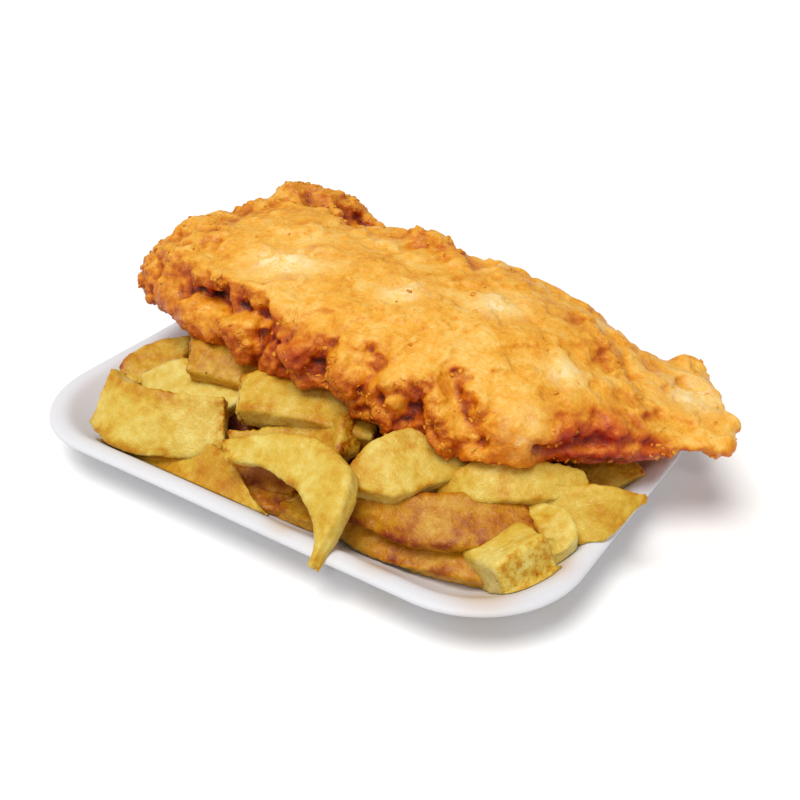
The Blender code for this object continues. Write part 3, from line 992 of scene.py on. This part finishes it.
batter = batter_material()
print("batter:", len(batter.node_tree.nodes), "nodes")

# %% [markdown]
# ## The fish, from large to small
# Batter is thick in some places and thin in others, and its colour follows its own shape: the
# material paints shade into its hollows. The skin is rebuilt finer and finer, and each time gets a
# smaller relief. Then each point is compared with the mean of its neighbourhood, which tells ridges
# from hollows without any picture.

# %% Reading the skin's own shape
def ends_of(mesh):
    """Both ends of every edge, in either order."""
    flat = np.empty(len(mesh.edges) * 2, np.int32)
    mesh.edges.foreach_get("vertices", flat)
    edges = flat.reshape(-1, 2)
    return np.concatenate([edges, edges[:, ::-1]])


def sum_of_neighbours(values, ends):
    return np.bincount(ends[:, 0], weights=values[ends[:, 1]], minlength=len(values))


def smoothed(points, ends, rounds):
    """The points after each one has been moved to the mean of its neighbours a number of times."""
    neighbours = sum_of_neighbours(np.ones(len(points)), ends)
    for _ in range(rounds):
        sums = [sum_of_neighbours(points[:, axis], ends) for axis in range(3)]
        points = 0.5 * points + 0.5 * np.stack(sums, 1) / neighbours[:, None]
    return points

# %% Marks on the fish
BROAD, WIDE = 12, 70  # rounds of smoothing that remove small relief, and nearly all relief
RIDGE_FULL, HOLLOW_FULL = 0.5, 1.5
WELD = 0.01
# (middle, reach)
PALE_SPOTS = (
    ((-37, 4, 75), 11), ((-46, 2, 74), 7), ((14, 10, 73), 7), ((48, 24, 71), 8), ((84, 10, 60), 6),
    ((84, -19, 48), 8), ((118, 52, 41), 11),
)
RED_SPOTS = (
    ((97, -10, 45), 10), ((108, 3, 44), 11), ((118, 12, 41), 10), ((-8, -27, 58), 8), ((-20, -24, 60), 6),
)


def copy_of_node(name, node):
    """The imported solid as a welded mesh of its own."""
    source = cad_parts[node]
    bm = bmesh.new()
    bm.from_mesh(source.data)
    bmesh.ops.remove_doubles(bm, verts=bm.verts, dist=WELD * MM)
    return object_from(name, bm)


def mark_crag(obj):
    points = points_of(obj.data)
    broad = smoothed(points, ends_of(obj.data), BROAD)
    flat = obj.data.copy()
    set_points(flat, broad)
    set_attribute(obj.data, "crag", crag_of(broad, normals_of(flat)))
    set_attribute(obj.data, "calm", spots_of(broad, CALM_SPOTS))
    bpy.data.meshes.remove(flat)


def mark_ridges(obj):
    """How far each point stands out of, or lies in, the skin around it."""
    points, ends, normals = points_of(obj.data), ends_of(obj.data), normals_of(obj.data)
    height = np.sum((points - smoothed(points, ends, BROAD)) * normals, axis=1)
    deep = np.sum((points - smoothed(points, ends, WIDE)) * normals, axis=1)
    set_attribute(obj.data, "relief", np.clip(height / RIDGE_FULL, 0, 1))
    set_attribute(obj.data, "hollow", np.clip(-deep / HOLLOW_FULL, 0, 1))

# %% Fish
CLAY_SKIN = 2.0  # side of the squares that the clay tools work on
# name, side of the skin's squares, rounds of softening, relief in mm
ROUNDS = (
    ("batter lobes", 1.5, 2, {"lobe": 5.0, "lump": 1.5, "fold": 4.0, "wave": 3.0}),
    ("batter lumps", 1.2, 1, {"lump": 2.8, "blister": 2.2, "fold": 1.6, "wave": 1.2, "flake": 1.0}),
    ("batter grit", 1.05, 0, {"blister": 1.3, "fold": 0.8, "grit": 1.4, "wave": 0.4, "flake": 0.4}),
)


def make_fish():
    fish = copy_of_node("battered_fish_skin", "battered_fish")
    remesh(fish, CLAY_SKIN, smoothing=6)
    set_points(fish.data, knead(points_of(fish.data), normals_of(fish.data)))
    for name, skin, smoothing, sizes in ROUNDS:
        remesh(fish, skin, smoothing)
        mark_crag(fish)
        run_tree(fish, batter_relief(name, batter), **sizes)
    mark_ridges(fish)
    points = points_of(fish.data)
    set_attribute(fish.data, "pale", spots_of(points, PALE_SPOTS))
    set_attribute(fish.data, "red", spots_of(points, RED_SPOTS))
    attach(fish, "root")
    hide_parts("battered_fish")
    print("fish:", len(fish.data.polygons), "faces")
    return fish


fish = make_fish()

# %% [markdown]
# ## Crumbs of batter
# Loose drops of batter set hard on the crust as crumbs and thin flakes. They sit where the crust is
# craggy, so a geometry tree scatters points on the fish's skin by its crag value, puts a small
# squashed ball on each one and dents it with noise. Half of each crumb is sunk in the skin.

# %% Crumbs
CRUMB_SEED = 4
CRUMB_LOW, CRUMB_HIGH = (0.5, 0.4, 0.22), (1.9, 1.2, 0.6)  # least and most size along each side
CRUMB_TILT = 0.5
CRUMB_LOOK = {"crag": 0.55, "relief": 0.6, "hollow": 0.0, "pale": 0.0, "red": 0.0}


def crumb_tree(material):
    sizes = {"Spacing": 1.2, "Density": 60000.0, "Size": 0.9, "Dent": 0.7}
    net, given = new_tree("crumbs", sizes)
    place = net.scaled(net.node("GeometryNodeInputPosition"), 1 / MM)
    clump = net.noise(place, 11.0, detail=1.0).ramp(0.44, 0.62)
    share = named(net, "crag").ramp(0.25, 0.8) * clump * (1.0 - named(net, "calm")) + 0.015
    sockets = {"Mesh": given, "Distance Min": given.out("Spacing") * MM, "Density Max": given.out("Density")}
    sockets |= {"Density Factor": share, "Seed": CRUMB_SEED}
    spots = net.node("GeometryNodeDistributePointsOnFaces", {"distribute_method": "POISSON"}, sockets)
    sizing = {0: CRUMB_LOW, 1: CRUMB_HIGH, "Seed": CRUMB_SEED + 1}
    stretch = net.node("FunctionNodeRandomValue", {"data_type": "FLOAT_VECTOR"}, sizing)
    spin_range = {0: (-CRUMB_TILT, -CRUMB_TILT, 0.0), 1: (CRUMB_TILT, CRUMB_TILT, math.tau)}
    spin_range["Seed"] = CRUMB_SEED + 2
    spin = net.node("FunctionNodeRandomValue", {"data_type": "FLOAT_VECTOR"}, spin_range)
    local = {"Rotation": spots.out("Rotation"), "Rotate By": spin}
    turn = net.node("FunctionNodeRotateRotation", {"rotation_space": "LOCAL"}, local)
    ball = net.node("GeometryNodeMeshIcoSphere", None, {"Radius": 1 * MM, "Subdivisions": 2})
    scale = net.scaled(stretch, given.out("Size"))
    put = {"Points": spots, "Instance": ball, "Rotation": turn, "Scale": scale}
    crumbs = net.node("GeometryNodeInstanceOnPoints", None, put)
    real = net.node("GeometryNodeRealizeInstances", None, {"Geometry": crumbs})
    push = net.scaled(net.shake(place, 0.9, detail=1.0), given.out("Dent") * MM * 2)
    moved = net.node("GeometryNodeSetPosition", None, {"Geometry": real, "Offset": push})
    finish_tree(net, moved, material)
    return net


def make_crumbs():
    crumbs = link("batter_crumbs", fish.data.copy())
    run_tree(crumbs, crumb_tree(batter))
    count = len(crumbs.data.vertices)
    for label, value in CRUMB_LOOK.items():
        set_attribute(crumbs.data, label, np.full(count, value))
    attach(crumbs, "root")
    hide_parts("battered_fish")
    print("crumbs:", len(crumbs.data.polygons), "faces")
    return crumbs


crumbs = make_crumbs()

# %% [markdown]
# ## How hidden each point is
# Light reaches a gap in the heap only after it has bounced off oily food, and comes out deep amber.
# A few rays from a point count how much of its sky is taken by food close by. One point in four is
# tested and its value is spread to its neighbours, because hiddenness changes slowly. Faces that look
# sideways or down see less sky too, so their lean adds to the shade, which the materials paint into
# the colour.

# %% Measure the shade
SHADE_REACH = 28.0
SHADE_RAYS = 10
SHADE_STEP = 4
SPREAD_ROUNDS = 6
RAY_LIFT = 0.4


def tree_of(objects):
    points, faces, offset = [], [], 0
    for obj in objects:
        mesh = obj.data
        points += (points_of(mesh) * MM).tolist()
        faces += [[i + offset for i in face.vertices] for face in mesh.polygons]
        offset += len(mesh.vertices)
    return BVHTree.FromPolygons(points, faces)


def sky_rays(count):
    """Directions over a half sphere, closer together round its top, as light falls on a face."""
    k = np.arange(count) + 0.5
    height = np.sqrt(1 - k / count)
    across = np.sqrt(k / count)
    turn = k * math.pi * (3 - math.sqrt(5))
    return np.stack([across * np.cos(turn), across * np.sin(turn), height], 1)


def measure_shade(obj, tree, lean, upright):
    mesh = obj.data
    points, normals = points_of(mesh) * MM, normals_of(mesh)
    rays = [Vector(ray) for ray in sky_rays(SHADE_RAYS)]
    count = len(points)
    total, known = np.zeros(count), np.zeros(count)
    for index in range(0, count, SHADE_STEP):
        normal = Vector(normals[index])
        turn = normal.to_track_quat("Z", "Y")
        origin = Vector(points[index]) + normal * RAY_LIFT * MM
        hidden = 0.0
        for ray in rays:
            distance = tree.ray_cast(origin, turn @ ray, SHADE_REACH * MM)[3]
            if distance is not None:
                hidden += 1 - (distance / (SHADE_REACH * MM)) ** 2
        total[index] = hidden / SHADE_RAYS
        known[index] = 1
    ends = ends_of(mesh)
    for _ in range(SPREAD_ROUNDS):
        total, known = (values + sum_of_neighbours(values, ends) * 0.5 for values in (total, known))
    # painted shade: hiddenness plus a share for faces that lean away from straight up, which the materials
    # paint into the colour
    shade = total / np.maximum(known, 1e-9) + lean * np.clip(upright - normals[:, 2], 0, 1)
    set_attribute(mesh, "shade", shade)
    print(obj.name, "mean shade", round(float(shade.mean()), 2))


food_tree = tree_of([tray, chips, core, fish])
# piece, how much painted shade its lean adds, and the upward part of the normal below which it counts
PAINTED_SIDE_SHADE = ((chips, 0.5, 0.6), (core, 0.5, 0.6), (fish, 1.1, 0.85), (crumbs, 0.4, 0.85))
for piece, lean, upright in PAINTED_SIDE_SHADE:
    measure_shade(piece, food_tree, lean, upright)

# %% [markdown]
# ## Floor and light
# A plain white floor and a large soft light keep the attention on the food. A sun lamp's wide angle
# gives the soft shadow of a softbox, a narrow weak one adds small highlights on the fat, and the
# white world fills the shadows.

# %% Floor
FLOOR_HALF = 4000.0
FLOOR_DROP = 0.2
FLOOR_WHITE = 0.92


def make_floor():
    bm = bmesh.new()
    bmesh.ops.create_grid(bm, x_segments=1, y_segments=1, size=FLOOR_HALF * MM)
    floor = object_from("floor", bm)
    floor.location.z = -FLOOR_DROP * MM
    made = bpy.data.materials.new("white floor")
    made.use_nodes = True
    shader = made.node_tree.nodes["Principled BSDF"]
    set_constants(shader, Base_Color=(FLOOR_WHITE, FLOOR_WHITE, FLOOR_WHITE, 1), Roughness=0.9)
    floor.data.materials.append(made)
    print("floor:", 2 * FLOOR_HALF, "mm square")


make_floor()

# %% Light
# direction towards the lamp, strength, width in degrees
LAMPS = {"softbox": ((-0.05, -0.30, 0.95), 2.35, 34), "window": ((0.35, -0.75, 0.75), 0.3, 6)}
LAMP_COLOR = (1.0, 0.985, 0.96)
FILL_LIGHT = 0.42


def make_light():
    world = bpy.data.worlds.new("studio")
    world.use_nodes = True
    set_constants(world.node_tree.nodes["Background"], Color=(1.0, 1.0, 1.0, 1), Strength=FILL_LIGHT)
    bpy.context.scene.world = world
    for name, (towards, strength, width) in LAMPS.items():
        lamp = bpy.data.lights.new(name, "SUN")
        lamp.energy = strength
        lamp.angle = math.radians(width)
        lamp.color = LAMP_COLOR
        holder = link(name, lamp)
        holder.rotation_euler = Vector(towards).to_track_quat("Z", "Y").to_euler()
    bpy.context.scene.view_settings.view_transform = "Standard"
    print("lamps:", ", ".join(LAMPS))


make_light()

# %% [markdown]
# ## Camera
# Food is shot from a little above, with the long side of the tray towards the lens, so that both the
# top of the fish and the heap below it show. Two angles and a distance round an aim point place the
# camera, which is easier to reason about than a position and a rotation.

# %% Camera
VIEW_AZIMUTH = 33.9
VIEW_ELEVATION = 31.9
VIEW_DISTANCE = 453.6
VIEW_AIM = (12.7, 9.6, 24.0)


def make_camera():
    azimuth = math.radians(VIEW_AZIMUTH)
    elevation = math.radians(VIEW_ELEVATION)
    level = math.cos(elevation)
    back = Vector((math.sin(azimuth) * level, -math.cos(azimuth) * level, math.sin(elevation)))
    lens = bpy.data.cameras.new("camera")
    lens.lens = 50.0
    lens.sensor_width = 36.0
    lens.clip_start = 0.01
    camera = link("camera", lens)
    camera.location = (Vector(VIEW_AIM) + back * VIEW_DISTANCE) * MM
    camera.rotation_euler = (-back).to_track_quat("-Z", "Y").to_euler()
    bpy.context.scene.camera = camera
    print("camera at, in mm:", [round(v / MM) for v in camera.location])


make_camera()
